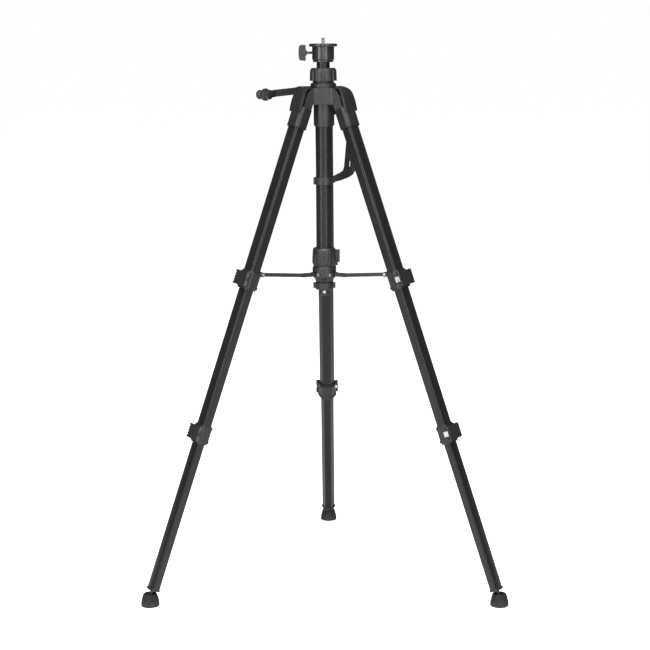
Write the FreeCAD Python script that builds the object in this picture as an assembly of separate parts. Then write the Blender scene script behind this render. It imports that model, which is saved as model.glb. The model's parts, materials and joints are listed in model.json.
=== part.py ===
import FreeCAD
import Part
import math
import os

# Tripod for a laser level: geared centre column, three-section flip-lock legs,
# sliding spreader and a 1/4 inch stud on a turning head.
# Millimetres, +Z up. Z = 0 is the ground. The design frame has the column's axis at
# X = Y = 0; the finished part is moved by FRAME_SHIFT so that the origin is the
# centre of the footprint's box on the ground.

V = FreeCAD.Vector
X_AXIS = V(1, 0, 0)
Y_AXIS = V(0, 1, 0)
Z_AXIS = V(0, 0, 1)
ORIGIN = V(0, 0, 0)

# ---- driving dimensions: stance --------------------------------------------------------------
LEG_AZIMUTHS = {"left": 210.0, "right": 330.0, "rear": 90.0}
LEAN = 20.15               # a leg's angle from the vertical, fully open, degrees
HINGE_R = 38.0             # column axis to leg hinge
HINGE_Z = 927.0            # leg hinge above ground
LEG_OFFSET = 3.1           # leg axis outside the hinge axis
BALL_OFFSET = 5.3          # ankle ball outside the hinge axis
BALL_Z = 16.0              # ankle ball centre above ground

# ---- driving dimensions: leg sections --------------------------------------------------------
LEG_WIDTH = 38.6           # across the section's sharp outer corners, before rounding
LEG_DEPTH = 25.8           # radial depth of the upper section
LEG_FLAT = 18.0            # width of the flat inner face
LEG_BOW = 2.8              # how much the outer face is bowed
LEG_HALF = 17.0            # half the upper section's real width
LEG_CORNER = 5.6           # corner rounding of the upper section
WALL = 1.4                 # tube wall
STEP = 1.8                 # each section is this much smaller all round than the last
UPPER_COLLAR_AT = 348.5    # hinge to the middle of the upper collar, along the leg
LOWER_COLLAR_AT = 651.0    # hinge to the middle of the lower collar, along the leg
COLLAR_LENGTH = 36.0
COLLAR_WALL = 3.0
SLIDE_GAP = 0.4            # clamp half of a collar to the section sliding in it

# ---- driving dimensions: column --------------------------------------------------------------
COLUMN_R = 12.5
COLUMN_BORE_R = 11.0
COLUMN_BOTTOM = 576.0
COLUMN_TOP = 1028.0
COLUMN_LIFT = 240.0
GUIDE_R = 15.1
GUIDE_BORE_R = 13.6
GUIDE_BOTTOM = 575.0
GUIDE_TOP = 926.0
CROWN_TOP = 958.0
NUT_BOTTOM = 970.0
NUT_TOP = 994.0

# ---- driving dimensions: head ----------------------------------------------------------------
CUP_R = 20.8
CUP_BOTTOM = 1004.8
LIP_TOP = 1008.6
FLANGE_R = 26.6
FLANGE_BOTTOM = 1033.6
FLANGE_TOP = 1039.2
STUD_R = 3.175             # 1/4 inch thread, outside
STUD_TOP = 1050.6
STUD_ROOT_R = 4.0          # the shank below the flange's face
STUD_DEPTH = 9.0
WING_Z = 1022.4
WING_SCREW_R = 2.35

# ---- driving dimensions: rack and pinion -----------------------------------------------------
MODULE = 1.0
PINION_TEETH = 14
PITCH_R = MODULE * PINION_TEETH / 2.0
PRESSURE = math.radians(20.0)
ADDENDUM = 0.8 * MODULE
DEDENDUM = 1.15 * MODULE
BACKLASH = 0.3             # taken off each tooth's thickness at the pitch line
RACK_PITCH_AT = 9.9        # column axis to the rack's pitch plane
CRANK_AZIMUTH = 150.0
CRANK_Z = 948.4
CRANK_OFFSET = RACK_PITCH_AT + PITCH_R
CRANK_ARM = 82.0           # shaft to knob
CRANK_DROOP = 2.5          # how far the resting arm hangs below level, degrees

# ---- driving dimensions: spreader ------------------------------------------------------------
HUB_PIVOT_R = 45.5         # column axis to a brace's hub end
HUB_PIVOT_Z = 602.0
BRACE_PIVOT_R = 134.8      # column axis to a brace's leg end
BRACE_PIVOT_Z = 609.5
BRACE_T = 3.0
BRACE_H = 7.0
HUB_BOTTOM = 595.0
HUB_TOP = 616.5
RING_BOTTOM = 619.0
RING_TOP = 653.0
THREAD_R = 19.6            # the hub's neck that the ring turns on
RIVET_R = 1.6

# ---- driving dimensions: carry handle --------------------------------------------------------
HANDLE_AZIMUTH = 30.0
HANDLE_T = 6.0
BAND_BOTTOM = 774.5        # the handle's lower end is a band round the guide tube
BAND_TOP = 788.0
PAD_BOTTOM = 905.0         # its upper end is a pad on the crown's skirt
PAD_TOP = 920.5
PAD_HALF = 6.0

# ---- fits ------------------------------------------------------------------------------------
RUNNING = 0.06             # radial clearance of pins and shafts
GAP = 0.35                 # between bodies that only pass each other

# ---- derived ---------------------------------------------------------------------------------
LEAN_RAD = math.radians(LEAN)
NORMAL = V(math.cos(LEAN_RAD), 0, math.sin(LEAN_RAD))
DOWN = V(math.sin(LEAN_RAD), 0, -math.cos(LEAN_RAD))
ANKLE_AT = (HINGE_Z + BALL_OFFSET * NORMAL.z - BALL_Z) / math.cos(LEAN_RAD)
ANKLE_R = HINGE_R + BALL_OFFSET * NORMAL.x + ANKLE_AT * DOWN.x
FOOT_R = 17.4
FOOT_TOP = 23.8
BALL_R = 7.2
FRAME_SHIFT = V(0, -(ANKLE_R - ANKLE_R / 2.0) / 2.0, 0)


# ---- small tools -----------------------------------------------------------------------------
def cylinder(radius, bottom, top, x=0.0, y=0.0):
    return Part.makeCylinder(radius, top - bottom, V(x, y, bottom))


def rod(radius, start, end):
    return Part.makeCylinder(radius, (end - start).Length, start, end - start)


def block(x0, x1, y0, y1, z0, z1):
    return Part.makeBox(x1 - x0, y1 - y0, z1 - z0, V(x0, y0, z0))


def turned(points):
    """A solid of revolution about Z from (radius, height) points, closed in order."""
    wire = Part.makePolygon([V(r, 0, z) for r, z in points] + [V(points[0][0], 0, points[0][1])])
    return Part.Face(wire).revolve(ORIGIN, Z_AXIS, 360)


def plate(points, y0, y1):
    """A flat outline in the X-Z plane, thickened from y0 to y1."""
    wire = Part.makePolygon([V(x, y0, z) for x, z in points] + [V(points[0][0], y0, points[0][1])])
    return Part.Face(wire).extrude(V(0, y1 - y0, 0))


def prism(points, z0, z1):
    """A flat outline in the X-Y plane, thickened from z0 to z1."""
    wire = Part.makePolygon([V(x, y, z0) for x, y in points] + [V(points[0][0], points[0][1], z0)])
    return Part.Face(wire).extrude(V(0, 0, z1 - z0))


def fused(*shapes):
    return shapes[0].fuse(list(shapes[1:]))


def turn(shape, azimuth):
    """A copy turned about the column's axis."""
    copy = shape.copy()
    copy.rotate(ORIGIN, Z_AXIS, azimuth)
    return copy


def polar(radius, azimuth, z):
    a = math.radians(azimuth)
    return V(radius * math.cos(a), radius * math.sin(a), z)


def on_leg(shape, azimuth):
    """From the leg frame (origin on the hinge, +X outward, +Z up the leg) to the tripod."""
    copy = shape.copy()
    copy.rotate(ORIGIN, Y_AXIS, -LEAN)
    copy.translate(V(HINGE_R, 0, HINGE_Z))
    return turn(copy, azimuth)


# ---- leg section -----------------------------------------------------------------------------
def section(grow):
    """The leg profile in the leg frame at z = 0, offset outward by grow."""
    outer = LEG_DEPTH / 2.0 - LEG_BOW
    half = LEG_WIDTH / 2.0
    face_arc = Part.Arc(V(outer, half, 0), V(outer + LEG_BOW, 0, 0), V(outer, -half, 0)).toShape()
    sides = Part.makePolygon([
        V(outer, -half, 0),
        V(-LEG_DEPTH / 2.0, -LEG_FLAT / 2.0, 0),
        V(-LEG_DEPTH / 2.0, LEG_FLAT / 2.0, 0),
        V(outer, half, 0),
    ])
    face = Part.Face(Part.Wire([face_arc] + sides.Edges))
    rounded = face.makeOffset2D(-LEG_CORNER).makeOffset2D(LEG_CORNER + max(grow, 0.0))
    if grow < 0:
        rounded = rounded.makeOffset2D(grow)
    rounded.translate(V(LEG_OFFSET, 0, 0))
    return rounded


def leg_prism(grow, low, high):
    face = section(grow)
    face.translate(V(0, 0, low))
    return face.extrude(V(0, 0, high - low))


def leg_tube(grow, low, high):
    return leg_prism(grow, low, high).cut(leg_prism(grow - WALL, low - 1, high + 1))


# ---- leg: shoulder bracket -------------------------------------------------------------------
KNUCKLE_R = 8.7
EAR_IN = 5.0
EAR_OUT = 13.0
PIN_R = 2.5
BRACKET_WALL = 3.0
BRACKET_BOTTOM = -48.0
TUBE_TOP = -15.0


def leg_bracket():
    socket = leg_prism(BRACKET_WALL, BRACKET_BOTTOM, -9.6)
    face_x = LEG_OFFSET + LEG_DEPTH / 2.0 + BRACKET_WALL
    outer = [
        Part.Arc(V(face_x, 0, -20), V(face_x + 2.0, 0, -4), V(face_x + 2.0, 0, 10)),
        Part.Arc(V(face_x + 2.0, 0, 10), V(16.6, 0, 25.5), V(4.8, 0, 33.8)),
        Part.LineSegment(V(4.8, 0, 33.8), V(4.4, 0, 30.6)),
        Part.Arc(V(4.4, 0, 30.6), V(13.2, 0, 23.6), V(face_x - 2.4, 0, 10)),
        Part.LineSegment(V(face_x - 2.4, 0, 10), V(face_x - 3.5, 0, -20)),
        Part.LineSegment(V(face_x - 3.5, 0, -20), V(face_x, 0, -20)),
    ]
    shell = Part.Face(Part.Wire([e.toShape() for e in outer]))
    shell.translate(V(0, -25, 0))
    shell = shell.extrude(V(0, 50, 0))
    side = LEG_HALF + BRACKET_WALL
    arch = [
        Part.LineSegment(V(0, -side, -20), V(0, -side, 8)),
        Part.Arc(V(0, -side, 8), V(0, -side + 5.2, 25), V(0, -6, 35)),
        Part.LineSegment(V(0, -6, 35), V(0, 6, 35)),
        Part.Arc(V(0, 6, 35), V(0, side - 5.2, 25), V(0, side, 8)),
        Part.LineSegment(V(0, side, 8), V(0, side, -20)),
        Part.LineSegment(V(0, side, -20), V(0, -side, -20)),
    ]
    arch = Part.Face(Part.Wire([e.toShape() for e in arch])).extrude(V(40, 0, 0))
    shell = shell.common(arch)
    ears = []
    for side in (-1, 1):
        low, high = sorted((side * EAR_IN, side * EAR_OUT))
        disc = rod(KNUCKLE_R, V(0, low, 0), V(0, high, 0))
        web = block(-KNUCKLE_R, KNUCKLE_R, low, high, -11, 0)
        ears.append(disc.fuse(web))
    bore = rod(PIN_R + RUNNING, V(0, -20, 0), V(0, 20, 0))
    return fused(socket, shell, *ears).cut(bore).cut(leg_prism(0.0, BRACKET_BOTTOM - 1, TUBE_TOP))


# ---- leg: flip-lock collars ------------------------------------------------------------------
PIN_X = 4.2                # lever pin outside the gripped tube's outer face
BOLT_X = 1.6               # clamp bolt outside that face
LEVER_PIN_R = 1.5
BOLT_R = 1.5
BOSS_R = 4.3
LEVER_H = 27.0
EYE_H = 7.0
EYE_R = 2.9
NUT_AF = 5.2
NUT_H = 2.6
WASHER_T = 1.5
WASHER_REACH = 8.8         # bolt to the washer plate's inner edge
GROOVE_FLOOR = 1.7         # plastic left under a finger groove
GROOVE_HALF = 1.1


def tube_face(grow):
    return LEG_OFFSET + LEG_DEPTH / 2.0 + grow


def half_width(grow):
    return LEG_HALF + grow


def lever_pin_at(grow):
    """X and Y of a lever's pin in the leg frame."""
    return tube_face(grow) + PIN_X, half_width(grow) + COLLAR_WALL + 1.2


def collar(at, grow):
    """The collar fixed on the end of the tube of offset grow, gripping the next section."""
    low = -at - COLLAR_LENGTH / 2.0
    high = -at + COLLAR_LENGTH / 2.0
    body = leg_prism(grow + COLLAR_WALL, low + 3, high - 3)
    body = body.fuse(leg_prism(grow + COLLAR_WALL - 1.0, low, high))
    skirt = leg_prism(grow + COLLAR_WALL + 1.2, low + 3, low + 8)
    brim = leg_prism(grow + COLLAR_WALL + 1.2, high - 7, high - 3)
    face = tube_face(grow)
    reach = half_width(grow)
    ears = block(face - 3, face + PIN_X - 0.2, -reach, reach - 4, -at - 11, -at + 11)
    body = fused(body, skirt, brim, ears)
    body = body.cut(leg_prism(grow, -at - 2, high + 1))
    body = body.cut(leg_prism(grow - STEP + SLIDE_GAP, low - 1, -at - 1))
    slit = block(face - 5, face + 12, -0.9, 0.9, low - 1, -at - 2.5)
    pin_x, pin_y = lever_pin_at(grow)
    lever_room = cylinder(BOSS_R + GAP, -at - LEVER_H / 2 - GAP, -at + LEVER_H / 2 + GAP, pin_x, pin_y)
    plate_room = block(face + PIN_X - 0.1, face + 14, -40, pin_y, -at - LEVER_H / 2 - GAP,
                       -at + LEVER_H / 2 + GAP)
    bolt_z = -at
    bolt_hole = rod(BOLT_R, V(face + BOLT_X, -40, bolt_z), V(face + BOLT_X, 40, bolt_z))
    nut_seat = block(face - 8, face + 14, -40, -reach - 1.0, bolt_z - 6, bolt_z + 6)
    eye_room = block(face + BOLT_X - 2.4, face + 12, reach - 4, 40, bolt_z - EYE_H / 2, bolt_z + EYE_H / 2)
    return body.cut(slit).cut(lever_room).cut(plate_room).cut(bolt_hole).cut(nut_seat).cut(eye_room)


def brace_clevis():
    """Two ears on the inner side of an upper collar, in the leg frame."""
    x, z = brace_pivot_on_leg()
    inner_face = LEG_OFFSET - LEG_DEPTH / 2.0 - COLLAR_WALL + 0.8
    ears = []
    for side in (-1, 1):
        low, high = sorted((side * (BRACE_T / 2 + GAP), side * (BRACE_T / 2 + GAP + 3.0)))
        ears.append(rod(4.6, V(x, low, z), V(x, high, z)))
        ears.append(block(x, inner_face, low, high, z - 4.6, z + 4.6))
    return ears


def brace_pivot_on_leg():
    """The brace's leg pivot in the leg frame, as (x, z)."""
    offset = V(BRACE_PIVOT_R - HINGE_R, 0, BRACE_PIVOT_Z - HINGE_Z)
    return offset.dot(NORMAL), -offset.dot(DOWN)


def upper_collar():
    x, z = brace_pivot_on_leg()
    body = fused(collar(UPPER_COLLAR_AT, 0.0), *brace_clevis())
    return body.cut(rod(RIVET_R, V(x, -10, z), V(x, 10, z)))


def lower_collar():
    return collar(LOWER_COLLAR_AT, -STEP)


def lever(at, grow):
    """A flip lever: boss round its pin, plate across the outer face, ribbed free end."""
    pin_x, pin_y = lever_pin_at(grow)
    reach = half_width(grow)
    z0 = -at - LEVER_H / 2.0
    z1 = -at + LEVER_H / 2.0
    boss = cylinder(BOSS_R, z0, z1, pin_x, pin_y)
    inner = tube_face(grow) + PIN_X + GAP
    free_y = -reach - 7.5
    arm = prism([
        (pin_x + BOSS_R - 0.15, pin_y),
        (pin_x + BOSS_R - 1.5, -reach + 2),
        (inner + 3.2, free_y),
        (inner, free_y),
        (inner, pin_y - 3.2),
        (pin_x, pin_y),
    ], z0, z1)
    body = boss.fuse(arm)
    for i in range(4):
        groove_z = z0 + LEVER_H * (i + 1) / 5.0
        body = body.cut(block(inner + GROOVE_FLOOR, inner + 12, free_y - 1, -reach + 6,
                              groove_z - GROOVE_HALF, groove_z + GROOVE_HALF))
    eye_gap = block(inner - 14, pin_x + EYE_R + GAP, pin_y - 7.5, pin_y + 8, -at - EYE_H / 2 - GAP,
                    -at + EYE_H / 2 + GAP)
    pin_bore = cylinder(LEVER_PIN_R + RUNNING, z0 - 1, z1 + 1, pin_x, pin_y)
    return body.cut(eye_gap).cut(pin_bore)


def lock_hardware(at, grow, with_brace_rivet):
    """Clamp bolt with its eye, the nut, the lever's pin and the brace's rivet."""
    pin_x, pin_y = lever_pin_at(grow)
    reach = half_width(grow)
    x = tube_face(grow) + BOLT_X
    seat = -reach - 1.0
    shank = rod(BOLT_R, V(x, seat, -at), V(x, pin_y - 2, -at))
    eye = cylinder(EYE_R, -at - EYE_H / 2 + 0.3, -at + EYE_H / 2 - 0.3, pin_x, pin_y)
    neck = block(x - 1.5, pin_x, pin_y - 4.5, pin_y, -at - 1.5, -at + 1.5)
    bolt = fused(shank, neck, eye).cut(cylinder(LEVER_PIN_R, -at - 20, -at + 20, pin_x, pin_y))
    lever_pin = cylinder(LEVER_PIN_R, -at - LEVER_H / 2 - 1, -at + LEVER_H / 2 + 1, pin_x, pin_y)
    shank_room = rod(BOLT_R, V(x, seat + 1, -at), V(x, seat - 10, -at))
    nut = hexagon(NUT_AF, NUT_H)
    nut.rotate(ORIGIN, Z_AXIS, 30)
    nut.rotate(ORIGIN, X_AXIS, 90)
    nut.translate(V(x, seat - WASHER_T, -at))
    washer = block(x - WASHER_REACH, x + NUT_AF / 2, seat - WASHER_T, seat, -at - 5.0, -at + 5.0)
    thread_end = rod(BOLT_R, V(x, seat, -at), V(x, seat - WASHER_T - NUT_H - 0.8, -at))
    pieces = [bolt.fuse(thread_end), lever_pin, nut.cut(shank_room), washer.cut(shank_room)]
    if with_brace_rivet:
        px, pz = brace_pivot_on_leg()
        y = BRACE_T / 2 + GAP + 3.0
        shaft = rod(RIVET_R, V(px, -y, pz), V(px, y, pz))
        heads = [rod(2.8, V(px, -y - 1.3, pz), V(px, -y, pz)), rod(2.8, V(px, y, pz), V(px, y + 1.3, pz))]
        pieces.append(fused(shaft, *heads))
    return Part.makeCompound(pieces)


def hexagon(across_flats, height):
    r = across_flats / math.sqrt(3)
    points = [(r * math.cos(math.radians(60 * i)), r * math.sin(math.radians(60 * i))) for i in range(6)]
    return prism(points, 0, height)


# ---- leg: tubes, end plug and foot -----------------------------------------------------------
PLUG_TOP_AT = ANKLE_AT - 19.4


def upper_tube():
    return leg_tube(0.0, -UPPER_COLLAR_AT - 2, TUBE_TOP)


def middle_tube():
    return leg_tube(-STEP, -LOWER_COLLAR_AT - 2, -UPPER_COLLAR_AT + 34)


def lower_tube():
    return leg_tube(-2 * STEP, -PLUG_TOP_AT, -LOWER_COLLAR_AT + 34)


def end_plug():
    grow = -2 * STEP
    bung = leg_prism(grow - WALL, -PLUG_TOP_AT, -PLUG_TOP_AT + 18)
    cap = leg_prism(grow, -PLUG_TOP_AT - 2.4, -PLUG_TOP_AT)
    flare = leg_prism(grow + 1.6, -PLUG_TOP_AT - 5.4, -PLUG_TOP_AT - 2.4)
    neck = rod(3.4, V(BALL_OFFSET, 0, -PLUG_TOP_AT - 4), V(BALL_OFFSET, 0, -ANKLE_AT))
    ball = Part.makeSphere(BALL_R, V(BALL_OFFSET, 0, -ANKLE_AT))
    return fused(bung, cap, flare, neck, ball)


def foot():
    """Rubber foot, upright under the ankle ball, at azimuth 0."""
    cup = turned([
        (0, 0), (FOOT_R - 1.2, 0), (FOOT_R, 1.2), (FOOT_R, 4.0), (FOOT_R - 0.5, 8.0), (FOOT_R - 1.4, 12.5),
        (FOOT_R - 2.8, 18.0), (FOOT_R - 4.3, FOOT_TOP - 1.2), (FOOT_R - 5.6, FOOT_TOP), (0, FOOT_TOP),
    ])
    cavity = Part.makeSphere(BALL_R + GAP, V(0, 0, BALL_Z))
    mouth = Part.makeCone(5.4, 10.4, FOOT_TOP - BALL_Z + 0.1, V(0, 0, BALL_Z))
    sole = turned([(0, -1), (9.0, -1), (9.0, 1.0), (0, 1.0)])
    cup = cup.cut(cavity).cut(mouth).cut(sole)
    cup.translate(V(ANKLE_R, 0, 0))
    return cup


# ---- crown -----------------------------------------------------------------------------------
CROWN_R = 24.4
SLEEVE_R = 18.2            # skirt of the crown round the guide tube's top
SLEEVE_BOTTOM = 884.0
ARM_HALF = 13.0
ARM_REACH = 60.0
CROWN_BLEND = 16.0
LEG_AZIMUTHS_SORTED = sorted(LEG_AZIMUTHS.values())
TONGUE_HALF = 4.7


def crown_plan():
    """Outline of a round boss with three arms, blended where they meet."""
    blend_x = math.sqrt((CROWN_R + CROWN_BLEND) ** 2 - (ARM_HALF + CROWN_BLEND) ** 2)
    centre = V(blend_x, ARM_HALF + CROWN_BLEND, 0)
    on_arm = V(blend_x, ARM_HALF, 0)
    on_boss = centre * (CROWN_R / centre.Length)
    bisector = ((on_arm - centre) + (on_boss - centre)).normalize()
    middle = centre + bisector * CROWN_BLEND
    edges = []
    for azimuth in LEG_AZIMUTHS_SORTED:
        def at(x, y, azimuth=azimuth):
            return polar(math.hypot(x, y), azimuth + math.degrees(math.atan2(y, x)), 0)
        edges.append(Part.Arc(at(on_boss.x, -on_boss.y), at(middle.x, -middle.y), at(on_arm.x, -on_arm.y)))
        edges.append(Part.LineSegment(at(on_arm.x, -on_arm.y), at(ARM_REACH, -ARM_HALF)))
        edges.append(Part.LineSegment(at(ARM_REACH, -ARM_HALF), at(ARM_REACH, ARM_HALF)))
        edges.append(Part.LineSegment(at(ARM_REACH, ARM_HALF), at(on_arm.x, on_arm.y)))
        edges.append(Part.Arc(at(on_arm.x, on_arm.y), at(middle.x, middle.y), at(on_boss.x, on_boss.y)))
        next_start = polar(CROWN_R, azimuth + 120 - math.degrees(math.atan2(on_boss.y, on_boss.x)), 0)
        edges.append(Part.Arc(at(on_boss.x, on_boss.y), polar(CROWN_R, azimuth + 60, 0), next_start))
    return Part.Face(Part.Wire([edge.toShape() for edge in edges]))


def crown():
    plan = crown_plan()
    plan.translate(V(0, 0, HINGE_Z - 1))
    body = plan.extrude(V(0, 0, CROWN_TOP - HINGE_Z + 1))
    arch = [
        Part.LineSegment(V(0, 0, HINGE_Z - 2), V(HINGE_R + 9.8, 0, HINGE_Z - 2)),
        Part.LineSegment(V(HINGE_R + 9.8, 0, HINGE_Z - 2), V(HINGE_R + 9.8, 0, HINGE_Z + 3.5)),
        Part.Arc(V(HINGE_R + 9.8, 0, HINGE_Z + 3.5), V(HINGE_R + 3.4, 0, HINGE_Z + 19.6),
                 V(HINGE_R - 15.0, 0, CROWN_TOP)),
        Part.LineSegment(V(HINGE_R - 15.0, 0, CROWN_TOP), V(0, 0, CROWN_TOP)),
        Part.LineSegment(V(0, 0, CROWN_TOP), V(0, 0, HINGE_Z - 2)),
    ]
    dome = Part.Face(Part.Wire([e.toShape() for e in arch])).revolve(ORIGIN, Z_AXIS, 360)
    body = body.common(dome)
    boss = rod(9.5, crank_point(18, CRANK_OFFSET), crank_point(CRANK_BOSS_END, CRANK_OFFSET))
    sleeve = turned([
        (0, SLEEVE_BOTTOM), (SLEEVE_R - 1.4, SLEEVE_BOTTOM), (SLEEVE_R, SLEEVE_BOTTOM + 16),
        (SLEEVE_R, HINGE_Z), (0, HINGE_Z),
    ])
    boss = boss.cut(cylinder(CROWN_R + 1, CROWN_TOP, CROWN_TOP + 20))
    body = body.fuse([boss, sleeve])
    seats = []
    tongues = []
    pins = []
    for azimuth in LEG_AZIMUTHS.values():
        for side in (-1, 1):
            low, high = sorted((side * TONGUE_HALF, side * 24.0))
            seat = rod(KNUCKLE_R + 0.4, V(HINGE_R, low, HINGE_Z), V(HINGE_R, high, HINGE_Z))
            below = block(HINGE_R - KNUCKLE_R - 0.4, HINGE_R + 30, low, high, HINGE_Z - 30, HINGE_Z)
            lip = block(HINGE_R + 5.5, HINGE_R + 30, low, high, HINGE_Z - 1, HINGE_Z + 4.6)
            seats += [turn(seat, azimuth), turn(below, azimuth), turn(lip, azimuth)]
        tongue = rod(KNUCKLE_R - 0.5, V(HINGE_R, -TONGUE_HALF, HINGE_Z), V(HINGE_R, TONGUE_HALF, HINGE_Z))
        tongues.append(turn(tongue, azimuth))
        pins.append(turn(rod(PIN_R, V(HINGE_R, -20, HINGE_Z), V(HINGE_R, 20, HINGE_Z)), azimuth))
    body = body.cut(seats).fuse(tongues).cut(pins)
    body = body.cut(cylinder(GUIDE_R, SLEEVE_BOTTOM - 1, GUIDE_TOP))
    body = body.cut(cylinder(COLUMN_R + 0.4, GUIDE_TOP - 1, CROWN_TOP + 1))
    pinion_room = rod(PITCH_R + ADDENDUM + 0.6, crank_point(-6.0, CRANK_OFFSET),
                      crank_point(6.0, CRANK_OFFSET))
    shaft_bore = rod(SHAFT_R + RUNNING, crank_point(-14.0, CRANK_OFFSET),
                     crank_point(70.0, CRANK_OFFSET))
    return body.cut(pinion_room).cut(shaft_bore)


def crown_collar():
    """Ring on the crown with the threaded neck that the column nut turns on."""
    bore = COLUMN_R + 4.6
    return turned([
        (bore, CROWN_TOP), (CROWN_R - 0.8, CROWN_TOP), (CROWN_R, CROWN_TOP + 1), (CROWN_R, CROWN_TOP + 6),
        (CROWN_R - 1.6, CROWN_TOP + 7.6), (20.2, CROWN_TOP + 8.6), (20.2, NUT_BOTTOM - GAP),
        (19.0, NUT_BOTTOM - GAP), (19.0, NUT_TOP - 8), (bore, NUT_TOP - 8),
    ])


def column_collet():
    """Split nylon sleeve that the nut squeezes onto the column."""
    sleeve = turned([
        (COLUMN_R + 0.08, CROWN_TOP), (COLUMN_R + 4.6, CROWN_TOP), (COLUMN_R + 4.6, NUT_TOP - 7),
        (COLUMN_R + 2.6, NUT_TOP - 4.5), (COLUMN_R + 0.08, NUT_TOP - 4.5),
    ])
    return sleeve.cut(block(0, 30, -0.8, 0.8, CROWN_TOP + 8, NUT_TOP))


def column_lock_nut():
    """Eight-lobed clamp nut with a chamfered top."""
    blank = turned([
        (19.0 + RUNNING, NUT_BOTTOM), (25.9, NUT_BOTTOM), (25.4, NUT_TOP - 7), (24.0, NUT_TOP - 2.2),
        (21.4, NUT_TOP), (COLUMN_R + 0.5, NUT_TOP), (COLUMN_R + 0.5, NUT_TOP - 4),
        (19.0 + RUNNING, NUT_TOP - 4),
    ])
    for i in range(8):
        flute = cylinder(5.4, NUT_BOTTOM - 1, NUT_TOP - 3, 29.0, 0)
        blank = blank.cut(turn(flute, 45.0 * i))
    return blank


def leg_pivot_pins():
    pins = []
    for azimuth in LEG_AZIMUTHS.values():
        pins.append(turn(rod(PIN_R, V(HINGE_R, -EAR_OUT, HINGE_Z), V(HINGE_R, EAR_OUT, HINGE_Z)), azimuth))
    return Part.makeCompound(pins)


# ---- guide tube and what is fixed on it ------------------------------------------------------
def guide_tube():
    bore = cylinder(GUIDE_BORE_R, GUIDE_BOTTOM - 1, GUIDE_TOP + 1)
    return cylinder(GUIDE_R, GUIDE_BOTTOM, GUIDE_TOP).cut(bore)


def guide_end_cap():
    """Four-lobed bush on the guide's lower end; it stops the hub and steadies the column."""
    low, high = GUIDE_BOTTOM - 3.0, GUIDE_BOTTOM + 11.0
    cap = turned([(0, low), (16.4, low), (17.6, low + 2), (17.6, high - 1), (16.6, high), (0, high)])
    for i in range(4):
        lobe = block(0, 21.4, -6.5, 6.5, low + 3, high - 1.5)
        cap = cap.fuse(turn(lobe, 90.0 * i))
    cap = cap.cut(cylinder(GUIDE_R, GUIDE_BOTTOM, high + 1))
    return cap.cut(cylinder(COLUMN_R + 0.1, low - 1, high + 1))


def handle_outline():
    """The carry handle's side view: closed outline of (radius, height) points."""
    outer = [(17, 777), (36, 780.5), (53, 785.5), (62, 790), (67.5, 797), (69, 806), (68.5, 824),
             (66.5, 852), (64, 882), (59, 902), (48, 913), (34, 917), (18.2, 918.5)]
    inner = [(18.2, 906.5), (34, 905.5), (43, 902), (49.5, 893), (52, 878), (51, 852), (47.5, 818),
             (46.2, 806), (43.5, 799), (37, 795), (17, 787)]
    return outer + inner


def carry_handle():
    loop = plate(handle_outline(), -HANDLE_T / 2, HANDLE_T / 2)
    slot = [rod(2.4, V(57, -9, 807), V(57, 9, 807)), rod(2.4, V(57.6, -9, 815), V(57.6, 9, 815)),
            plate([(54.6, 807), (59.4, 807), (60.0, 815), (55.2, 815)], -9, 9)]
    for tool in slot:
        loop = loop.cut(tool)
    loop = loop.cut(rod(2.0, V(58.5, -9, 829), V(58.5, 9, 829)))
    low, high = BAND_BOTTOM, BAND_TOP
    band = cylinder(GUIDE_R + 2.8, low, high)
    lug = turn(block(GUIDE_R + 1, GUIDE_R + 5, -2, 2, low, high), 165)
    root = block(GUIDE_R + 0.4, 23, -HANDLE_T / 2, HANDLE_T / 2, low + 2, high - 1)
    pad = block(SLEEVE_R - 0.9, SLEEVE_R + 3.8, -PAD_HALF, PAD_HALF, PAD_BOTTOM, PAD_TOP)
    foot_plate = pad.common(cylinder(SLEEVE_R + 3.4, PAD_BOTTOM, PAD_TOP))
    loop = fused(loop, band, lug, root, foot_plate)
    return turn(loop.cut(cylinder(GUIDE_R, 760, 890)).cut(cylinder(SLEEVE_R, 890, 925)), HANDLE_AZIMUTH)


# ---- column ----------------------------------------------------------------------------------
RACK_HALF = 5.0
RACK_LOW = CRANK_Z - COLUMN_LIFT - 12.0
RACK_HIGH = CRANK_Z + 9.0


def rack_frame(shape):
    """From a frame with +X toward the rack's teeth to the tripod."""
    return turn(shape, CRANK_AZIMUTH - 90.0)


def column_tube():
    tube = cylinder(COLUMN_R, COLUMN_BOTTOM, COLUMN_TOP).cut(
        cylinder(COLUMN_BORE_R, COLUMN_BOTTOM - 1, COLUMN_TOP - 3))
    slot = block(5, 20, -RACK_HALF, RACK_HALF, RACK_LOW, RACK_HIGH)
    return tube.cut(rack_frame(slot))


def column_rack():
    """Rack strip set in the column's slot; a tooth gap faces the pinion at rest."""
    pitch = math.pi * MODULE
    root = RACK_PITCH_AT - DEDENDUM
    tip = RACK_PITCH_AT + ADDENDUM
    half = pitch / 4 - BACKLASH / 2
    slope = math.tan(PRESSURE)
    outline = [(6.2, RACK_LOW), (root, RACK_LOW)]
    first = math.ceil((RACK_LOW - CRANK_Z) / pitch + 0.5)
    last = math.floor((RACK_HIGH - CRANK_Z) / pitch - 1.0)
    for i in range(first, last + 1):
        z = CRANK_Z + (i + 0.5) * pitch
        wide = half + DEDENDUM * slope
        narrow = half - ADDENDUM * slope
        outline += [(root, z - wide), (tip, z - narrow), (tip, z + narrow), (root, z + wide)]
    outline += [(root, RACK_HIGH), (6.2, RACK_HIGH)]
    return rack_frame(plate(outline, -RACK_HALF, RACK_HALF))


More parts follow.
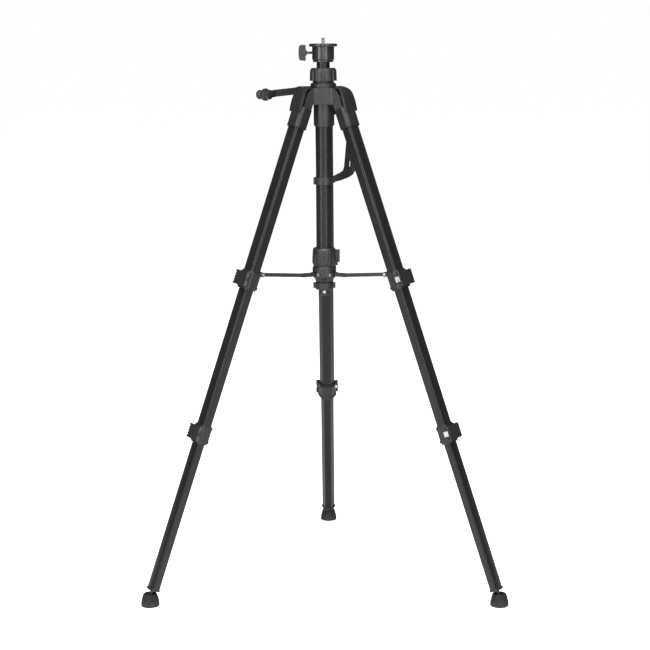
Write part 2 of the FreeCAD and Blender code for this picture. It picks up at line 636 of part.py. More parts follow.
def column_end_plug():
    plug = turned([(0, 560.5), (9.6, 560.5), (10.8, 561.7), (10.8, COLUMN_BOTTOM), (0, COLUMN_BOTTOM)])
    bung = cylinder(COLUMN_BORE_R, COLUMN_BOTTOM - 0.5, COLUMN_BOTTOM + 14)
    return fused(plug, bung).cut(rod(1.6, V(0, -20, 568), V(0, -4, 568)))


def column_stop_screw():
    shank = rod(1.6, V(0, -11.0, 568), V(0, -4.0, 568))
    return fused(shank, rod(2.9, V(0, -11.9, 568), V(0, -10.8, 568)))


# ---- crank -----------------------------------------------------------------------------------
SHAFT_R = 4.0
CRANK_BOSS_END = 55.0
CRANK_HUB_R = 10.8
CRANK_EYE_R = 9.0
CRANK_BAR_HALF = 6.4
CRANK_PLANE = 57.0         # where the arm's hub starts, outward from the column's axis
KNOB_PLANE = 84.0          # outer face of the arm's eye
KNOB_PIN_R = 2.0
KNOB_LENGTH = 20.5
KNOB_RECESS = 2.8          # counterbore over the spindle's riveted end
CRANK_OUT = polar(1.0, CRANK_AZIMUTH, 0)
CRANK_SIDE = polar(1.0, CRANK_AZIMUTH - 90.0, 0)


def crank_point(out, side, up=0.0):
    return CRANK_OUT * out + CRANK_SIDE * side + V(0, 0, CRANK_Z + up)


def crank_frame(shape):
    """From a frame with Z along the shaft and +X along the arm to the tripod."""
    copy = shape.copy()
    arm = CRANK_SIDE * -math.cos(math.radians(CRANK_DROOP)) + V(0, 0, -math.sin(math.radians(CRANK_DROOP)))
    third = CRANK_OUT.cross(arm)
    centre = crank_point(0, CRANK_OFFSET)
    copy.transformShape(FreeCAD.Matrix(
        arm.x, third.x, CRANK_OUT.x, centre.x,
        arm.y, third.y, CRANK_OUT.y, centre.y,
        arm.z, third.z, CRANK_OUT.z, centre.z,
        0, 0, 0, 1))
    return copy


def pinion_outline():
    """Involute pinion with a tooth centred on +X."""
    base = PITCH_R * math.cos(PRESSURE)
    tip = PITCH_R + ADDENDUM
    root = PITCH_R - DEDENDUM
    half_at_pitch = (math.pi * MODULE / 2 - BACKLASH) / 2 / PITCH_R
    involute = math.tan(PRESSURE) - PRESSURE

    def half_angle(radius):
        angle = math.acos(min(1.0, base / radius))
        return half_at_pitch + involute - (math.tan(angle) - angle)

    radii = [base + (tip - base) * k / 5.0 for k in range(6)]
    points = []
    for tooth in range(PINION_TEETH):
        centre = 2 * math.pi * tooth / PINION_TEETH
        flank = [(root, half_angle(base))] + [(r, half_angle(r)) for r in radii]
        for r, a in flank:
            points.append((r * math.cos(centre - a), r * math.sin(centre - a)))
        for r, a in reversed(flank):
            points.append((r * math.cos(centre + a), r * math.sin(centre + a)))
    return points


def crank_shaft():
    """Shaft with its pinion; a tooth points at the rack at rest."""
    pinion = prism(pinion_outline(), -RACK_HALF + GAP, RACK_HALF - GAP)
    pinion.rotate(ORIGIN, Z_AXIS, CRANK_DROOP)
    shaft = cylinder(SHAFT_R, -12.0, CRANK_PLANE)
    square = block(-2.6, 2.6, -2.6, 2.6, CRANK_PLANE - 1, CRANK_PLANE + 8)
    return crank_frame(fused(pinion, shaft, square))


def crank_arm():
    """Dog-leg arm: hub on the shaft, a slope outward, then the eye for the knob."""
    start, end = CRANK_PLANE, KNOB_PLANE
    hub = cylinder(CRANK_HUB_R, start, start + 8)
    eye = cylinder(CRANK_EYE_R, end - 6, end, CRANK_ARM, 0)
    bar = plate([
        (0, start + 1), (0, start + 7), (20, start + 7), (58, end), (CRANK_ARM, end),
        (CRANK_ARM, end - 5.5), (60, end - 5.5), (22, start + 1),
    ], -12.0, 12.0)
    half = CRANK_BAR_HALF
    taper = prism([(0, 3.8 - half), (CRANK_ARM, -half), (CRANK_ARM, half), (0, 3.8 + half)], start, end + 1)
    body = fused(hub, eye, bar.common(taper))
    body = body.cut(block(-2.6, 2.6, -2.6, 2.6, start - 1, start + 8.5))
    knob_end = end + GAP + KNOB_LENGTH
    spindle = cylinder(KNOB_PIN_R, end - 1, knob_end - 1, CRANK_ARM, 0)
    spindle_head = cylinder(KNOB_PIN_R + 1.2, knob_end - KNOB_RECESS + GAP, knob_end - 0.5, CRANK_ARM, 0)
    return crank_frame(fused(body, spindle, spindle_head))


def crank_knob():
    z = KNOB_PLANE + GAP
    bore = KNOB_PIN_R + RUNNING
    recess_r = KNOB_PIN_R + 1.2 + GAP
    recess_z = z + KNOB_LENGTH - KNOB_RECESS
    knob = turned([
        (bore, z), (9.6, z), (11.6, z + 1.5), (11.8, z + 6), (10.2, z + 8.5), (7.2, z + 11), (7.4, z + 13),
        (8.6, z + 14.5), (8.8, z + 18), (7.4, z + KNOB_LENGTH), (recess_r, z + KNOB_LENGTH),
        (recess_r, recess_z), (bore, recess_z),
    ])
    for i in range(8):
        knob = knob.cut(turn(cylinder(2.6, z - 1, z + 8.5, 13.4, 0), 45.0 * i))
    knob.translate(V(CRANK_ARM, 0, 0))
    return crank_frame(knob)


# ---- head ------------------------------------------------------------------------------------
def head_cup():
    """Turned cup on the column's top, with the flange that the laser level stands on."""
    body = turned([
        (0, COLUMN_TOP + GAP), (COLUMN_R + 0.08, COLUMN_TOP + GAP), (COLUMN_R + 0.08, CUP_BOTTOM),
        (18.6, CUP_BOTTOM), (19.2, CUP_BOTTOM + 0.6), (19.2, LIP_TOP - 0.6), (18.6, LIP_TOP),
        (CUP_R - 1.0, LIP_TOP), (CUP_R, LIP_TOP + 1), (CUP_R, FLANGE_BOTTOM),
        (FLANGE_R - 1.2, FLANGE_BOTTOM), (FLANGE_R, FLANGE_BOTTOM + 1.2), (FLANGE_R, FLANGE_TOP - 1.2),
        (FLANGE_R - 1.2, FLANGE_TOP), (0, FLANGE_TOP),
    ])
    body = body.cut(cylinder(STUD_ROOT_R, FLANGE_TOP - STUD_DEPTH, FLANGE_TOP + 1))
    return body.cut(rod(WING_SCREW_R + RUNNING, V(-40, 0, WING_Z), V(-COLUMN_R, 0, WING_Z)))


def stud():
    return turned([
        (0, FLANGE_TOP - STUD_DEPTH), (STUD_ROOT_R, FLANGE_TOP - STUD_DEPTH), (STUD_ROOT_R, FLANGE_TOP),
        (STUD_R, FLANGE_TOP), (STUD_R, STUD_TOP - 0.8), (STUD_R - 0.8, STUD_TOP), (0, STUD_TOP),
    ])


def wing_knob():
    """Paddle with its screw, which presses on the column through the cup's wall."""
    outline = [(-32.8, -14.2), (-32.8, -6.5), (-30.6, -3.2), (-30.6, 3.2), (-32.8, 6.5), (-32.8, 14.2),
               (-34.5, 15), (-42.5, 14.6), (-45.4, 12), (-46.4, 5), (-46.4, -5), (-45.4, -12),
               (-42.5, -14.6), (-34.5, -15)]
    paddle = plate([(x, z + WING_Z) for x, z in outline], -3.2, 3.2)
    waist = plate([(-40, WING_Z - 4), (-30.6, WING_Z - 4), (-30.6, WING_Z + 4), (-40, WING_Z + 4)], -4.2, 4.2)
    screw = rod(WING_SCREW_R, V(-35, 0, WING_Z), V(-COLUMN_R - GAP, 0, WING_Z))
    return fused(paddle, waist, screw)


# ---- spreader --------------------------------------------------------------------------------
CHEEK_IN = BRACE_T / 2 + 0.5
CHEEK_OUT = CHEEK_IN + 1.5
HUB_R = 22.8


def hub_body():
    """Sliding hub: bored block with three slotted arms for the braces."""
    body = turned([
        (GUIDE_R + RUNNING, HUB_BOTTOM - 7.5), (GUIDE_R + 1.4, HUB_BOTTOM - 7.5),
        (GUIDE_R + 3, HUB_BOTTOM - 3),
        (HUB_R - 1.5, HUB_BOTTOM + 1), (HUB_R, HUB_BOTTOM + 3), (HUB_R, HUB_TOP - 1.5),
        (HUB_R - 1.5, HUB_TOP), (THREAD_R, HUB_TOP), (THREAD_R, RING_BOTTOM + 12),
        (GUIDE_R + RUNNING, RING_BOTTOM + 12),
    ])
    low, high = HUB_PIVOT_Z - 3.6, HUB_PIVOT_Z + 3.6
    end = HUB_PIVOT_R + 3.6
    for azimuth in LEG_AZIMUTHS.values():
        cheeks = block(18, end, -CHEEK_OUT, CHEEK_OUT, low, high)
        root = block(17, 24.0, -10.5, 10.5, low, high)
        body = body.fuse([turn(cheeks, azimuth), turn(root, azimuth)])
    for azimuth in LEG_AZIMUTHS.values():
        slot = block(20.2, end + 1, -CHEEK_IN, CHEEK_IN, HUB_BOTTOM + 1.5, HUB_TOP + 1)
        spots = [block(16.6, 30, y0, y0 + 20, HUB_PIVOT_Z - 3.6, HUB_PIVOT_Z + 3.6) for y0 in (-31.6, 11.6)]
        for tool in [slot] + spots:
            body = body.cut(turn(tool, azimuth))
        for side in (-1, 1):
            pin_hole = rod(RIVET_R, V(20.0, side * CHEEK_IN, HUB_PIVOT_Z), V(20.0, side * 20, HUB_PIVOT_Z))
            body = body.cut(turn(pin_hole, azimuth))
    return body.cut(cylinder(GUIDE_R + RUNNING, 560, 660))


def hub_rivets():
    """Pairs of rivets that hold each slotted arm on the hub."""
    rivets = []
    for azimuth in LEG_AZIMUTHS.values():
        for side in (-1, 1):
            shank = rod(RIVET_R, V(20.0, side * CHEEK_IN, HUB_PIVOT_Z), V(20.0, side * 11.7, HUB_PIVOT_Z))
            head = rod(2.8, V(20.0, side * 11.6, HUB_PIVOT_Z), V(20.0, side * 13.0, HUB_PIVOT_Z))
            rivets.append(turn(fused(shank, head), azimuth))
    return Part.makeCompound(rivets)


TAB_REACH = 30.0
TAB_T = 4.6


def hub_lock_ring():
    """Fluted ring with a finger tab; it clamps the hub on the guide tube."""
    ring = turned([
        (THREAD_R + RUNNING, RING_BOTTOM), (21.0, RING_BOTTOM), (23.3, RING_BOTTOM + 4.5),
        (23.0, RING_BOTTOM + 18),
        (21.9, RING_TOP - 3.5), (20.2, RING_TOP - 0.6), (18.4, RING_TOP), (GUIDE_R + 0.4, RING_TOP),
        (GUIDE_R + 0.4, RING_BOTTOM + 13), (THREAD_R + RUNNING, RING_BOTTOM + 13),
    ])
    for i in range(16):
        flute = cylinder(3.0, RING_BOTTOM + 3.5, RING_TOP - 5.5, 25.2, 0)
        ring = ring.cut(turn(flute, 22.5 * i))
    tab = block(21.0, TAB_REACH, -TAB_T / 2, TAB_T / 2, RING_BOTTOM + 6, RING_TOP - 4)
    return ring.fuse(tab)


def brace():
    """Flat steel brace between the hub and a leg, at azimuth 0."""
    a = V(HUB_PIVOT_R, 0, HUB_PIVOT_Z)
    b = V(BRACE_PIVOT_R, 0, BRACE_PIVOT_Z)
    along = (b - a).normalize()
    side = V(-along.z, 0, along.x) * (BRACE_H / 2.0)
    half = BRACE_T / 2.0
    inner, outer = a + along * 4, b - along * 5
    nose = rod(3.0, a + V(0, -half, 0), a + V(0, half, 0))
    nose_side = side * 0.84
    eye_side = side * 1.1

    def flat(*corners):
        return plate([(corner.x, corner.z) for corner in corners], -half, half)

    bar = flat(inner + side, outer + side, outer - side, inner - side)
    taper = flat(a + nose_side, inner + side, inner - side, a - nose_side)
    eye = rod(4.2, b + V(0, -half, 0), b + V(0, half, 0))
    neck = flat(outer + side, b + eye_side, b - eye_side, outer - side)
    bore = rod(RIVET_R + RUNNING, b + V(0, -5, 0), b + V(0, 5, 0))
    return fused(bar, taper, nose, neck, eye).cut(bore)


# ---- the whole tripod ------------------------------------------------------------------------
def build():
    """Every sub-part by node name, in the finished part's frame."""
    nodes = {
        "crown": crown(),
        "crown_collar": crown_collar(),
        "column_collet": column_collet(),
        "guide_tube": guide_tube(),
        "guide_end_cap": guide_end_cap(),
        "carry_handle": carry_handle(),
        "leg_pivot_pins": leg_pivot_pins(),
        "column_tube": column_tube(),
        "column_rack": column_rack(),
        "column_end_plug": column_end_plug(),
        "column_stop_screw": column_stop_screw(),
        "crank_shaft": crank_shaft(),
        "crank_arm": crank_arm(),
        "crank_knob": crank_knob(),
        "column_lock_nut": column_lock_nut(),
        "head_cup": head_cup(),
        "stud": stud(),
        "wing_knob": wing_knob(),
        "hub_body": hub_body(),
        "hub_rivets": hub_rivets(),
        "hub_lock_ring": hub_lock_ring(),
    }
    leg_parts = {
        "bracket": leg_bracket(),
        "upper_tube": upper_tube(),
        "upper_collar": upper_collar(),
        "upper_lever": lever(UPPER_COLLAR_AT, 0.0),
        "upper_hardware": lock_hardware(UPPER_COLLAR_AT, 0.0, True),
        "middle_tube": middle_tube(),
        "lower_collar": lower_collar(),
        "lower_lever": lever(LOWER_COLLAR_AT, -STEP),
        "lower_hardware": lock_hardware(LOWER_COLLAR_AT, -STEP, False),
        "lower_tube": lower_tube(),
        "end_plug": end_plug(),
    }
    for name, azimuth in LEG_AZIMUTHS.items():
        for part, shape in leg_parts.items():
            nodes[f"{name}_{part}"] = on_leg(shape, azimuth)
        nodes[f"{name}_foot"] = turn(foot(), azimuth)
        nodes[f"{name}_brace"] = turn(brace(), azimuth)
    for shape in nodes.values():
        shape.translate(FRAME_SHIFT)
    return nodes


def main():
    os.makedirs("parts", exist_ok=True)
    for name, shape in build().items():
        shape.exportStep(f"parts/{name}.step")


if __name__ == "__main__":
    main()
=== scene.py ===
import json
import math

import bmesh
import bpy
from mathutils import Euler, Matrix, Vector


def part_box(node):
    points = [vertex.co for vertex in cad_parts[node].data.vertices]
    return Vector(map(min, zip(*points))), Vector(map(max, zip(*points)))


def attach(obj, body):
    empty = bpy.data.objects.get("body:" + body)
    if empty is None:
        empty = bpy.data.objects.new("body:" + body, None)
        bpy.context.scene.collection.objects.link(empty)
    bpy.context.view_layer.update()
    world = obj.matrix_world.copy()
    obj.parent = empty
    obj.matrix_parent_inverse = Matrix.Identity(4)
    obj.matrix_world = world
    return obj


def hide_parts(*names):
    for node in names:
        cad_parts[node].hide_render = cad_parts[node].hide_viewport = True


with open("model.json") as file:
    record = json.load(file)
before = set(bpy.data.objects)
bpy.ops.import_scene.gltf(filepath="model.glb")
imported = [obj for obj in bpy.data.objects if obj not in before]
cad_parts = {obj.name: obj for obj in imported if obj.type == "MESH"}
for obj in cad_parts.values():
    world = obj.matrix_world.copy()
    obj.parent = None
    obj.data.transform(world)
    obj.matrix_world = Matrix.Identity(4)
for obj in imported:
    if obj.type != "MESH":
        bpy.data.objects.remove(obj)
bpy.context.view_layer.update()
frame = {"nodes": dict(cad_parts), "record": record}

nodes = frame["nodes"]
slot_of = {s["node"]: s["material_slot"] for s in frame["record"]["subparts"]}
LEGS = {"left": 210.0, "right": 330.0, "rear": 90.0}    # each leg's direction round the column, degrees
LEAN = math.radians(20.15)                              # of each leg from upright

# the column's axis, from the round cup on top
flange_low, flange_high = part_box("head_cup")
AXIS_X = (flange_low.x + flange_high.x) / 2
AXIS_Y = (flange_low.y + flange_high.y) / 2


# ---- shader building -------------------------------------------------------------------
GRAPHITE = (0.026, 0.026, 0.027)         # anodising rubbed at the edges
BARE_STEEL = (0.13, 0.125, 0.12)         # where paint is chipped
GROUND_DUST = (0.060, 0.058, 0.054)


class Shader:
    """A small helper that adds nodes to one material and links them."""

    def __init__(self, name):
        self.mat = bpy.data.materials.new(name)
        self.mat.use_nodes = True
        self.tree = self.mat.node_tree
        self.bsdf = self.tree.nodes["Principled BSDF"]

    def add(self, kind, **values):
        node = self.tree.nodes.new(kind)
        for key, value in values.items():
            if key in node.inputs:
                node.inputs[key].default_value = value
            else:
                setattr(node, key, value)
        return node

    def link(self, out, into):
        self.tree.links.new(out, into)

    def coords(self, rotation=(0, 0, 0), scale=(1, 1, 1)):
        place = self.add("ShaderNodeTexCoord")
        mapping = self.add("ShaderNodeMapping")
        mapping.inputs["Rotation"].default_value = rotation
        mapping.inputs["Scale"].default_value = scale
        self.link(place.outputs["Object"], mapping.inputs["Vector"])
        return mapping.outputs["Vector"]

    def noise(self, vector, scale, detail=3.0, roughness=0.55):
        node = self.add("ShaderNodeTexNoise", Scale=scale, Detail=detail, Roughness=roughness)
        self.link(vector, node.inputs["Vector"])
        return node.outputs["Fac"]

    def ramp(self, value, low, high, to_low, to_high):
        node = self.add("ShaderNodeMapRange")
        node.inputs["From Min"].default_value = low
        node.inputs["From Max"].default_value = high
        node.inputs["To Min"].default_value = to_low
        node.inputs["To Max"].default_value = to_high
        self.link(value, node.inputs["Value"])
        return node.outputs["Result"]

    def mix(self, factor, a, b):
        node = self.add("ShaderNodeMix", data_type="RGBA")
        self.link(factor, node.inputs[0])
        for socket, value in ((node.inputs[6], a), (node.inputs[7], b)):
            if isinstance(value, tuple):
                socket.default_value = value + (1.0,)
            else:
                self.link(value, socket)
        return node.outputs[2]

    def edges(self, radius):
        """(rounded normal, 0..1 mask of the worn edges)"""
        bevel = self.add("ShaderNodeBevel", samples=4, Radius=radius)
        geometry = self.add("ShaderNodeNewGeometry")
        dot = self.add("ShaderNodeVectorMath", operation="DOT_PRODUCT")
        self.link(bevel.outputs["Normal"], dot.inputs[0])
        self.link(geometry.outputs["True Normal"], dot.inputs[1])
        mask = self.ramp(dot.outputs["Value"], 0.985, 0.80, 0.0, 1.0)
        return bevel.outputs["Normal"], mask

    def bump(self, height, strength, distance, normal=None):
        node = self.add("ShaderNodeBump", Strength=strength, Distance=distance)
        self.link(height, node.inputs["Height"])
        if normal is not None:
            self.link(normal, node.inputs["Normal"])
        return node.outputs["Normal"]

    def finish(self, color, roughness, normal, **constants):
        self.link(color, self.bsdf.inputs["Base Color"])
        self.link(roughness, self.bsdf.inputs["Roughness"])
        self.link(normal, self.bsdf.inputs["Normal"])
        for key, value in constants.items():
            self.bsdf.inputs[key.replace("_", " ")].default_value = value
        return self.mat


def moulded(name, dark, light, rough, grain=1500.0, grain_depth=0.00005, edge=0.0005, worn=0.03, spec=0.42):
    """Moulded nylon: fine spark-eroded grain, faint flow mottling, edges rubbed smoother."""
    s = Shader(name)
    p = s.coords()
    mottle = s.noise(p, 38.0, 4.0)
    fine = s.noise(p, grain, 2.0)
    normal, mask = s.edges(edge)
    color = s.mix(s.ramp(mottle, 0.35, 0.65, 0.0, 1.0), (dark,) * 3, (light,) * 3)
    patchy = s.add("ShaderNodeMath", operation="MULTIPLY")
    s.link(mask, patchy.inputs[0])
    s.link(s.ramp(s.noise(p, 160.0, 3.0), 0.4, 0.62, 0.25, 1.0), patchy.inputs[1])
    color = s.mix(patchy.outputs[0], color, (worn, worn, worn * 1.01))
    roughness = s.ramp(fine, 0.3, 0.7, rough - 0.06, rough + 0.08)
    return s.finish(color, roughness, s.bump(fine, 0.5, grain_depth, normal), Specular_IOR_Level=spec)


def anodised(name, tilt, turn, base=(0.0065, 0.0065, 0.0070), rough=0.31, spec=0.24):
    """Black anodised extrusion: draw lines along the tube, faint wear on its edges."""
    s = Shader(name)
    place = s.add("ShaderNodeTexCoord")
    spin = s.add("ShaderNodeVectorRotate", rotation_type="Z_AXIS")
    spin.inputs["Angle"].default_value = -turn
    s.link(place.outputs["Object"], spin.inputs["Vector"])
    lean = s.add("ShaderNodeVectorRotate", rotation_type="Y_AXIS")
    lean.inputs["Angle"].default_value = tilt
    s.link(spin.outputs["Vector"], lean.inputs["Vector"])
    mapping = s.add("ShaderNodeMapping")
    mapping.inputs["Scale"].default_value = (1.0, 1.0, 0.012)
    s.link(lean.outputs["Vector"], mapping.inputs["Vector"])
    lines = s.noise(mapping.outputs["Vector"], 1400.0, 2.0)
    cloud = s.noise(lean.outputs["Vector"], 14.0, 4.0)
    speck = s.noise(lean.outputs["Vector"], 900.0, 1.0)
    normal, mask = s.edges(0.0006)
    color = s.mix(s.ramp(cloud, 0.35, 0.7, 0.0, 1.0), base, tuple(c * 1.5 for c in base))
    color = s.mix(s.ramp(speck, 0.70, 0.78, 0.0, 0.5), color, (0.03, 0.03, 0.03))
    color = s.mix(s.ramp(mask, 0.0, 1.0, 0.0, 0.6), color, GRAPHITE)
    roughness = s.ramp(lines, 0.3, 0.7, rough - 0.05, rough + 0.07)
    return s.finish(color, roughness, s.bump(lines, 0.35, 0.00003, normal), Specular_IOR_Level=spec)


def painted(name, base=0.009, rough=0.36):
    """Semi-gloss black paint on steel, with a slight orange peel and chipped edges."""
    s = Shader(name)
    p = s.coords()
    peel = s.noise(p, 420.0, 2.0)
    normal, mask = s.edges(0.0004)
    chips = s.add("ShaderNodeMath", operation="MULTIPLY")
    s.link(mask, chips.inputs[0])
    s.link(s.ramp(s.noise(p, 300.0, 3.0), 0.5, 0.62, 0.0, 1.0), chips.inputs[1])
    color = s.mix(s.ramp(s.noise(p, 25.0, 3.0), 0.35, 0.65, 0.0, 1.0), (base,) * 3, (base * 1.7,) * 3)
    color = s.mix(chips.outputs[0], color, BARE_STEEL)
    roughness = s.ramp(peel, 0.3, 0.7, rough - 0.05, rough + 0.08)
    return s.finish(color, roughness, s.bump(peel, 0.3, 0.00006, normal), Specular_IOR_Level=0.42)


def plated(name, tint=(0.62, 0.60, 0.57), rough=0.24):
    """Nickel plate: fine turning marks, slightly stained in patches."""
    s = Shader(name)
    p = s.coords()
    marks = s.noise(s.coords(scale=(1.0, 1.0, 14.0)), 900.0, 2.0)
    stain = s.noise(p, 230.0, 4.0)
    normal, mask = s.edges(0.00025)
    color = s.mix(s.ramp(stain, 0.40, 0.72, 0.0, 1.0), tint, tuple(c * 0.62 for c in tint))
    color = s.mix(s.ramp(mask, 0.0, 1.0, 0.0, 0.5), color, (0.80, 0.79, 0.77))
    roughness = s.ramp(stain, 0.3, 0.7, rough - 0.06, rough + 0.12)
    return s.finish(color, roughness, s.bump(marks, 0.25, 0.00002, normal), Metallic=1.0)


def lock_steel(name, turn, limit=0.0095):
    """Clamp bolt and lever pin: nickel nut and rivet, blackened eye and pin beyond the limit."""
    s = Shader(name)
    p = s.coords()
    shift = s.add("ShaderNodeVectorMath", operation="SUBTRACT")
    shift.inputs[1].default_value = (AXIS_X, AXIS_Y, 0.0)
    s.link(p, shift.inputs[0])
    across = s.add("ShaderNodeVectorMath", operation="DOT_PRODUCT")
    across.inputs[1].default_value = (-math.sin(turn), math.cos(turn), 0.0)
    s.link(shift.outputs["Vector"], across.inputs[0])
    black = s.ramp(across.outputs["Value"], limit - 0.0002, limit + 0.0002, 0.0, 1.0)
    stain = s.noise(p, 260.0, 4.0)
    marks = s.noise(p, 1200.0, 2.0)
    normal, mask = s.edges(0.00025)
    bright = s.mix(s.ramp(stain, 0.40, 0.72, 0.0, 1.0), (0.56, 0.54, 0.51), (0.34, 0.33, 0.31))
    bright = s.mix(s.ramp(mask, 0.0, 1.0, 0.0, 0.5), bright, (0.74, 0.73, 0.71))
    oxide = s.mix(s.ramp(stain, 0.35, 0.7, 0.0, 1.0), (0.012, 0.012, 0.012), (0.024, 0.023, 0.022))
    s.link(s.ramp(black, 0.0, 1.0, 1.0, 0.0), s.bsdf.inputs["Metallic"])
    roughness = s.ramp(stain, 0.3, 0.7, 0.22, 0.38)
    return s.finish(s.mix(black, bright, oxide), roughness, s.bump(marks, 0.25, 0.00002, normal),
                    Specular_IOR_Level=0.3)


def rubber(name, base=0.012, rough=0.66):
    """Grey-black rubber, dusty toward the ground."""
    s = Shader(name)
    p = s.coords()
    fine = s.noise(p, 1100.0, 3.0)
    split = s.add("ShaderNodeSeparateXYZ")
    s.link(p, split.inputs[0])
    height = s.ramp(split.outputs["Z"], 0.0, 0.014, 1.0, 0.0)
    dust = s.add("ShaderNodeMath", operation="MULTIPLY")
    s.link(height, dust.inputs[0])
    s.link(s.ramp(s.noise(p, 240.0, 4.0), 0.35, 0.7, 0.1, 0.85), dust.inputs[1])
    normal, mask = s.edges(0.0006)
    color = s.mix(s.ramp(s.noise(p, 60.0, 4.0), 0.35, 0.65, 0.0, 1.0), (base,) * 3, (base * 1.6,) * 3)
    color = s.mix(s.ramp(mask, 0.0, 1.0, 0.0, 0.5), color, (0.035, 0.035, 0.034))
    color = s.mix(dust.outputs[0], color, GROUND_DUST)
    roughness = s.ramp(fine, 0.3, 0.7, rough - 0.06, rough + 0.14)
    return s.finish(color, roughness, s.bump(fine, 0.6, 0.00008, normal), Specular_IOR_Level=0.14)


MATERIALS = {
    "moulding": moulded("nylon_moulding", 0.0070, 0.0120, 0.44),
    "grip": moulded("nylon_grip", 0.0065, 0.0110, 0.46, grain=1100.0, grain_depth=0.00008),
    "lever_nylon": moulded("nylon_lever", 0.0075, 0.0125, 0.36, grain=1900.0, spec=0.55),
    "rack_nylon": moulded("acetal_rack", 0.0050, 0.0080, 0.34, grain=2400.0, grain_depth=0.00002),
    "black_anodised": anodised("anodised_column", 0.0, 0.0),
    "head_metal": anodised("anodised_head", 0.0, 0.0, rough=0.30, spec=0.55),
    "black_steel": painted("black_paint"),
    "bright_steel": plated("nickel_plate"),
    "stud_metal": plated("nickel_stud", (0.46, 0.43, 0.38), 0.30),
    "foot_rubber": rubber("foot_rubber"),
}
LEG_TUBES = {name: anodised(f"anodised_{name}_leg", LEAN, math.radians(a)) for name, a in LEGS.items()}
LOCK_STEEL = {name: lock_steel(f"lock_steel_{name}", math.radians(a)) for name, a in LEGS.items()}


def dress(obj, material):
    """Puts a material in all of an object's slots, on the object itself."""
    if not obj.material_slots:
        obj.data.materials.append(None)
    for s in obj.material_slots:
        s.link = "OBJECT"
        s.material = material


for name, obj in nodes.items():
    side = name.split("_")[0]
    if side in LEG_TUBES and slot_of[name] == "black_anodised":
        dress(obj, LEG_TUBES[side])
    elif name.endswith("_hardware"):
        dress(obj, LOCK_STEEL[side])
    else:
        dress(obj, MATERIALS[slot_of[name]])


# ---- the stud's thread -----------------------------------------------------------------
STUD_RADIUS = 0.003175     # quarter-inch camera thread
STUD_PITCH = 0.00127       # twenty turns to the inch
STUD_CHAMFER = 0.0008
STUD_SINK = 0.0008         # how far the stud goes down into the cup
SHARP_ANGLE = math.radians(28)


def threaded_stud(name, radius, bottom, top, pitch=STUD_PITCH):
    """A stud with a real helical thread and a chamfered end."""
    around, rings_per_pitch = 56, 10
    depth = 0.62 * pitch
    rings = int((top - bottom) / pitch * rings_per_pitch)
    mesh = bmesh.new()
    grid = []
    for i in range(rings + 1):
        z = bottom + (top - bottom) * i / rings
        row = []
        for k in range(around):
            angle = 2 * math.pi * k / around
            phase = ((z - bottom) / pitch - k / around) % 1.0
            flank = min(1.0, max(0.0, (abs(phase - 0.5) * 2 - 0.12) / 0.76))
            r = radius - depth * flank
            r = min(r, radius - max(0.0, z - (top - STUD_CHAMFER)))
            row.append(mesh.verts.new((AXIS_X + r * math.cos(angle), AXIS_Y + r * math.sin(angle), z)))
        grid.append(row)
    for i in range(rings):
        for k in range(around):
            k2 = (k + 1) % around
            mesh.faces.new((grid[i][k], grid[i][k2], grid[i + 1][k2], grid[i + 1][k]))
    mesh.faces.new(grid[-1])
    mesh.faces.new(list(reversed(grid[0])))
    data = bpy.data.meshes.new(name)
    mesh.to_mesh(data)
    mesh.free()
    for polygon in data.polygons:
        polygon.use_smooth = True
    data.set_sharp_from_angle(angle=SHARP_ANGLE)
    obj = bpy.data.objects.new(name, data)
    bpy.context.scene.collection.objects.link(obj)
    return obj


stud_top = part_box("stud")[1].z
stud = threaded_stud("stud_thread", STUD_RADIUS, flange_high.z - STUD_SINK, stud_top)
dress(stud, MATERIALS["stud_metal"])
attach(stud, "head")
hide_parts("stud")

# ---- floor, light, camera --------------------------------------------------------------
FLOOR_HALF = 60
FLOOR_GLOW = 0.89          # emission that only the camera sees, so the paper reads as plain white
SKY_SEEN = 1.0             # background for the camera
SKY_LIGHT = 0.12           # background as a light

floor_mesh = bpy.data.meshes.new("floor")
floor_corners = [(-FLOOR_HALF, -FLOOR_HALF, 0), (FLOOR_HALF, -FLOOR_HALF, 0),
                 (FLOOR_HALF, FLOOR_HALF, 0), (-FLOOR_HALF, FLOOR_HALF, 0)]
floor_mesh.from_pydata(floor_corners, [], [(0, 1, 2, 3)])
floor = bpy.data.objects.new("floor", floor_mesh)
bpy.context.scene.collection.objects.link(floor)
paper = Shader("studio_paper")
tone = paper.noise(paper.coords(), 6.0, 3.0)
paper.link(paper.mix(tone, (0.90, 0.90, 0.90), (0.93, 0.93, 0.93)), paper.bsdf.inputs["Base Color"])
paper.bsdf.inputs["Roughness"].default_value = 0.9
paper.bsdf.inputs["Emission Color"].default_value = (1.0, 1.0, 1.0, 1.0)
seen = paper.add("ShaderNodeLightPath")
glow = paper.ramp(seen.outputs["Is Camera Ray"], 0.0, 1.0, 0.0, FLOOR_GLOW)
paper.link(glow, paper.bsdf.inputs["Emission Strength"])
paper.bsdf.inputs["Specular IOR Level"].default_value = 0.1
floor_mesh.materials.append(paper.mat)

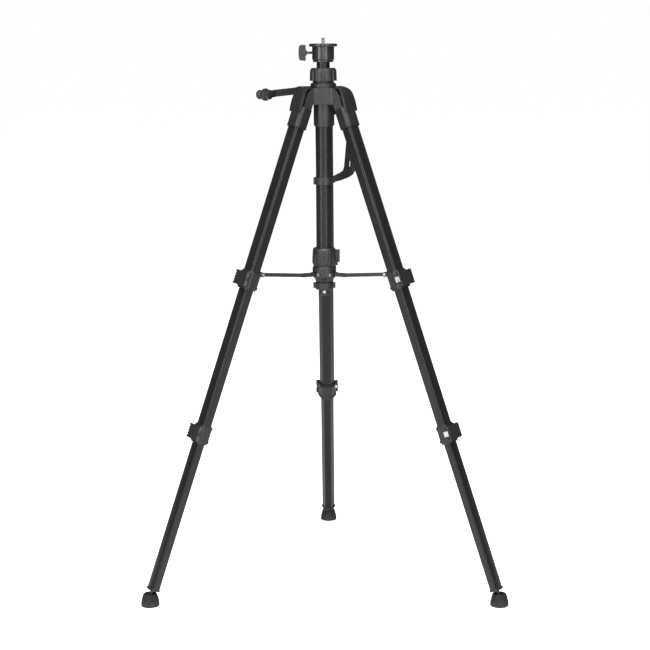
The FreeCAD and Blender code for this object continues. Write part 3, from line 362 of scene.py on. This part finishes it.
world = bpy.data.worlds.new("studio")
bpy.context.scene.world = world
world.use_nodes = True
sky = world.node_tree.nodes["Background"]
sky.inputs["Color"].default_value = (1, 1, 1, 1)
sky_seen = world.node_tree.nodes.new("ShaderNodeLightPath")
sky_level = world.node_tree.nodes.new("ShaderNodeMapRange")
sky_level.inputs["To Min"].default_value = SKY_LIGHT
sky_level.inputs["To Max"].default_value = SKY_SEEN
world.node_tree.links.new(sky_seen.outputs["Is Camera Ray"], sky_level.inputs["Value"])
world.node_tree.links.new(sky_level.outputs["Result"], sky.inputs["Strength"])


def softbox(name, place, aim, width, height, power):
    """A rectangular lamp at one place, facing another; sizes in metres, power in watts."""
    data = bpy.data.lights.new(name, "AREA")
    data.shape = "RECTANGLE"
    data.size = width
    data.size_y = height
    data.energy = power
    lamp = bpy.data.objects.new(name, data)
    bpy.context.scene.collection.objects.link(lamp)
    lamp.location = place
    lamp.rotation_euler = (Vector(aim) - Vector(place)).to_track_quat("-Z", "Y").to_euler()


softbox("softbox_left", (-1.95, -2.35, 1.45), (0, 0, 0.9), 0.55, 2.8, 68.0)
softbox("softbox_right", (1.55, -2.65, 1.45), (0, 0, 0.9), 0.5, 2.8, 52.0)
softbox("softbox_front", (0.0, -3.9, 1.6), (0, 0, 0.6), 1.0, 2.6, 40.0)
softbox("softbox_top", (0.0, -1.3, 3.0), (0, 0, 0.6), 1.8, 1.6, 130.0)

TWIST = math.radians(0.96)       # round the column, from straight in front
DISTANCE = 3.066                 # from the column's axis, level
HEIGHT = 1.0195
PITCH = math.radians(9.59)       # down
ROLL = math.radians(-0.325)
SIDE_SHIFT = 0.00065
LENS_MM = 88.78
SENSOR_MM = 36.0
CLIP_END = 200.0

camera_data = bpy.data.cameras.new("camera")
camera_data.lens = LENS_MM
camera_data.sensor_width = SENSOR_MM
camera_data.clip_end = CLIP_END
camera = bpy.data.objects.new("camera", camera_data)
bpy.context.scene.collection.objects.link(camera)
bpy.context.scene.camera = camera
camera_x = AXIS_X + DISTANCE * math.sin(TWIST) + SIDE_SHIFT
camera_y = AXIS_Y - DISTANCE * math.cos(TWIST)
camera.location = (camera_x, camera_y, HEIGHT)
camera.rotation_mode = "QUATERNION"
turn = Euler((math.radians(90) - PITCH, 0.0, TWIST), "XYZ").to_matrix()
camera.rotation_quaternion = (turn @ Matrix.Rotation(ROLL, 3, "Z")).to_quaternion()

bpy.context.scene.view_settings.view_transform = "Standard"
